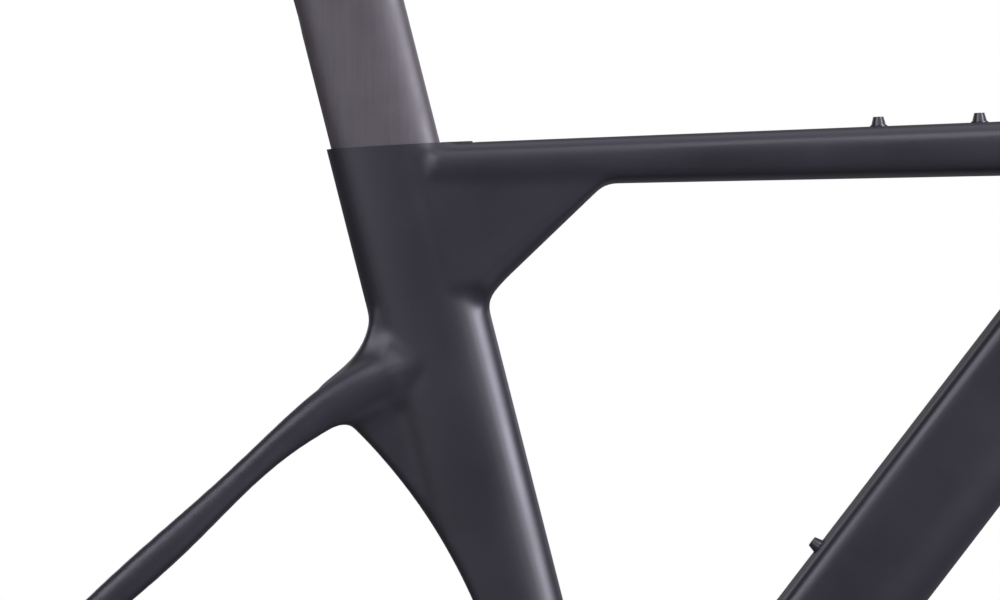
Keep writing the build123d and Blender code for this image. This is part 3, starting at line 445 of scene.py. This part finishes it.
def node(tree, kind, **inputs):
    """New node with some of its inputs set; a name's underscores stand for spaces."""
    made = tree.nodes.new(kind)
    for key, value in inputs.items():
        made.inputs[key.replace("_", " ")].default_value = value
    return made


def two_tones(tree, dark, light, start, end):
    """Colour ramp from a dark to a light tone."""
    ramp = tree.nodes.new("ShaderNodeValToRGB")
    for element, place, tone in zip(ramp.color_ramp.elements, (start, end), (dark, light)):
        element.position = place
        element.color = (*tone, 1)
    return ramp


def satin(name, dark, light, rough, metal=0.0):
    """Satin surface with faint clouding in colour and gloss and a very fine grain."""
    mat, tree, shader = material(name)
    shader.inputs["Metallic"].default_value = metal
    coords = tree.nodes.new("ShaderNodeTexCoord")
    cloud = node(tree, "ShaderNodeTexNoise", Scale=9.0, Detail=6.0, Roughness=0.6)
    grain = node(tree, "ShaderNodeTexNoise", Scale=900.0, Detail=3.0, Roughness=0.6)
    ramp = two_tones(tree, dark, light, 0.3, 0.75)
    gloss = node(tree, "ShaderNodeMapRange", From_Min=0.3, From_Max=0.7, To_Min=rough - 0.04, To_Max=rough + 0.05)
    bump = node(tree, "ShaderNodeBump", Strength=0.06, Distance=0.0002)
    link = tree.links.new
    link(coords.outputs["Object"], cloud.inputs["Vector"])
    link(coords.outputs["Object"], grain.inputs["Vector"])
    link(cloud.outputs["Fac"], ramp.inputs["Fac"])
    link(ramp.outputs["Color"], shader.inputs["Base Color"])
    link(cloud.outputs["Fac"], gloss.inputs["Value"])
    link(gloss.outputs["Result"], shader.inputs["Roughness"])
    link(grain.outputs["Fac"], bump.inputs["Height"])
    link(bump.outputs["Normal"], shader.inputs["Normal"])
    return mat


def carbon(name, dark, light, rough):
    """Raw carbon: brown-grey with faint fibre streaks along the post and soft blotches."""
    mat, tree, shader = material(name)
    coords = tree.nodes.new("ShaderNodeTexCoord")
    stretch = tree.nodes.new("ShaderNodeMapping")
    stretch.inputs["Rotation"].default_value = (0, math.atan2(-SEAT_UP.x, SEAT_UP.z), 0)
    stretch.inputs["Scale"].default_value = (1, 1, 0.03)
    streak = node(tree, "ShaderNodeTexNoise", Scale=420.0, Detail=4.0, Roughness=0.7)
    blotch = node(tree, "ShaderNodeTexNoise", Scale=28.0, Detail=5.0, Roughness=0.65)
    both = tree.nodes.new("ShaderNodeMix")
    both.inputs["Factor"].default_value = 0.5
    ramp = two_tones(tree, dark, light, 0.35, 0.65)
    gloss = node(tree, "ShaderNodeMapRange", From_Min=0.3, From_Max=0.7, To_Min=rough - 0.05, To_Max=rough + 0.08)
    bump = node(tree, "ShaderNodeBump", Strength=0.12, Distance=0.0002)
    link = tree.links.new
    link(coords.outputs["Object"], stretch.inputs["Vector"])
    link(stretch.outputs["Vector"], streak.inputs["Vector"])
    link(coords.outputs["Object"], blotch.inputs["Vector"])
    link(streak.outputs["Fac"], both.inputs["A"])
    link(blotch.outputs["Fac"], both.inputs["B"])
    link(both.outputs["Result"], ramp.inputs["Fac"])
    link(ramp.outputs["Color"], shader.inputs["Base Color"])
    link(blotch.outputs["Fac"], gloss.inputs["Value"])
    link(gloss.outputs["Result"], shader.inputs["Roughness"])
    link(streak.outputs["Fac"], bump.inputs["Height"])
    link(bump.outputs["Normal"], shader.inputs["Normal"])
    return mat


paint = satin("frame_paint", (0.0065, 0.0058, 0.0085), (0.0100, 0.0090, 0.0130), 0.40)
FINISHES = {
    "frame_carbon": paint,
    "post_carbon": carbon("post_carbon", (0.036, 0.031, 0.033), (0.056, 0.049, 0.051), 0.46),
    "black_aluminium": satin("black_anodised", (0.018, 0.018, 0.020), (0.028, 0.028, 0.031), 0.36, 0.35),
    "black_steel": satin("black_oxide_steel", (0.022, 0.022, 0.023), (0.040, 0.039, 0.040), 0.30, 0.35),
    "bearing_steel": satin("ground_bearing_steel", (0.50, 0.50, 0.51), (0.66, 0.66, 0.66), 0.22, 1.0),
    "black_plastic": satin("moulded_plastic", (0.016, 0.016, 0.017), (0.024, 0.024, 0.025), 0.5),
    "rubber": satin("rubber", (0.011, 0.011, 0.011), (0.018, 0.018, 0.018), 0.75),
}
skin.data.materials.append(paint)
for part in RECORD["subparts"]:
    slots = frame["nodes"][part["node"]].data.materials
    slots.clear()
    slots.append(FINISHES[part["material_slot"]])


# ---------------------------------------------------------------- stage, light and camera
CENTRE = (-0.0547, 0.0, 0.3973)
FLOOR_RADIUS = 4.0
FLOOR_SIDES = 96
FLOOR_DROP = 0.0005
TINT = (1.0, 0.975, 1.13)
# name, place, width, height, power
LIGHTS = (
    ("key_front", (2.55, -1.55, 1.2), 0.72, 1.6, 120),
    ("key_soft", (1.7, -2.2, 1.4), 1.0, 1.6, 5),
    ("fill_rear", (-1.6, -2.4, 1.6), 1.7, 1.8, 58),
    ("top_front", (0.6, -1.5, 2.4), 1.4, 1.0, 24),
    ("top", (0.0, 0.5, 2.9), 3.0, 2.4, 24),
    ("back_left", (-2.2, 2.6, 1.6), 1.6, 1.8, 12),
    ("back_right", (2.4, 2.2, 1.6), 1.6, 1.8, 16),
)
CAMERA_DISTANCE = 3.3
PICTURE_WIDTH = 0.615
SENSOR_MM = 36


def floor_paint():
    """Pale matt floor that fades to plain white with distance; it reflects little light onto the object."""
    mat, tree, shader = material("floor_white")
    shader.inputs["Roughness"].default_value = 0.9
    shader.inputs["Emission Color"].default_value = (1, 1, 1, 1)
    path = tree.nodes.new("ShaderNodeLightPath")
    place = tree.nodes.new("ShaderNodeTexCoord")
    tone = node(tree, "ShaderNodeMapRange", To_Min=0.20, To_Max=0.9)
    reach = tree.nodes.new("ShaderNodeVectorMath")
    reach.operation = "LENGTH"
    fade = node(tree, "ShaderNodeMapRange", From_Min=0.8, From_Max=2.6)
    fade.interpolation_type = "SMOOTHSTEP"
    glow = tree.nodes.new("ShaderNodeMath")
    glow.operation = "MULTIPLY"
    link = tree.links.new
    link(path.outputs["Is Camera Ray"], tone.inputs["Value"])
    link(tone.outputs["Result"], shader.inputs["Base Color"])
    link(place.outputs["Object"], reach.inputs[0])
    link(reach.outputs["Value"], fade.inputs["Value"])
    link(fade.outputs["Result"], glow.inputs[0])
    link(path.outputs["Is Camera Ray"], glow.inputs[1])
    link(glow.outputs["Value"], shader.inputs["Emission Strength"])
    return mat


def round_floor():
    """Round floor just under the frame's lowest point."""
    height = CAD_BOX[0][2] - FLOOR_DROP
    angles = np.arange(FLOOR_SIDES) * 2 * math.pi / FLOOR_SIDES
    rim = [(FLOOR_RADIUS * math.cos(a), FLOOR_RADIUS * math.sin(a), height) for a in angles]
    floor = object_from("floor", rim, [range(FLOOR_SIDES)])
    floor.data.materials.append(floor_paint())
    return floor


def studio_world():
    """White to the camera, dim and faintly cool as a light."""
    world = bpy.data.worlds.new("studio")
    world.use_nodes = True
    tree = world.node_tree
    dim = tree.nodes["Background"]
    dim.inputs["Color"].default_value = (0.94, 0.95, 1, 1)
    dim.inputs["Strength"].default_value = 0.19
    white = node(tree, "ShaderNodeBackground", Color=(1, 1, 1, 1), Strength=1.0)
    path = tree.nodes.new("ShaderNodeLightPath")
    mix = tree.nodes.new("ShaderNodeMixShader")
    link = tree.links.new
    link(path.outputs["Is Camera Ray"], mix.inputs["Fac"])
    link(dim.outputs["Background"], mix.inputs[1])
    link(white.outputs["Background"], mix.inputs[2])
    link(mix.outputs["Shader"], tree.nodes["World Output"].inputs["Surface"])
    bpy.context.scene.world = world


def area_light(name, place, width, height, power):
    """Rectangular light aimed at the middle of the picture."""
    data = bpy.data.lights.new(name, "AREA")
    data.shape = "RECTANGLE"
    data.size = width
    data.size_y = height
    data.energy = power
    data.color = TINT
    obj = bpy.data.objects.new(name, data)
    obj.location = place
    obj.rotation_euler = (Vector(CENTRE) - Vector(place)).to_track_quat("-Z", "Y").to_euler()
    bpy.context.scene.collection.objects.link(obj)


def side_camera():
    """Camera square to the frame's right side."""
    data = bpy.data.cameras.new("camera")
    data.sensor_width = SENSOR_MM
    data.lens = SENSOR_MM * CAMERA_DISTANCE / PICTURE_WIDTH
    obj = bpy.data.objects.new("camera", data)
    obj.location = (CENTRE[0], -CAMERA_DISTANCE, CENTRE[2])
    obj.rotation_euler = (math.pi / 2, 0, 0)
    bpy.context.scene.collection.objects.link(obj)
    bpy.context.scene.camera = obj


round_floor()
studio_world()
for light in LIGHTS:
    area_light(*light)
bpy.context.scene.view_settings.view_transform = "Standard"
side_camera()
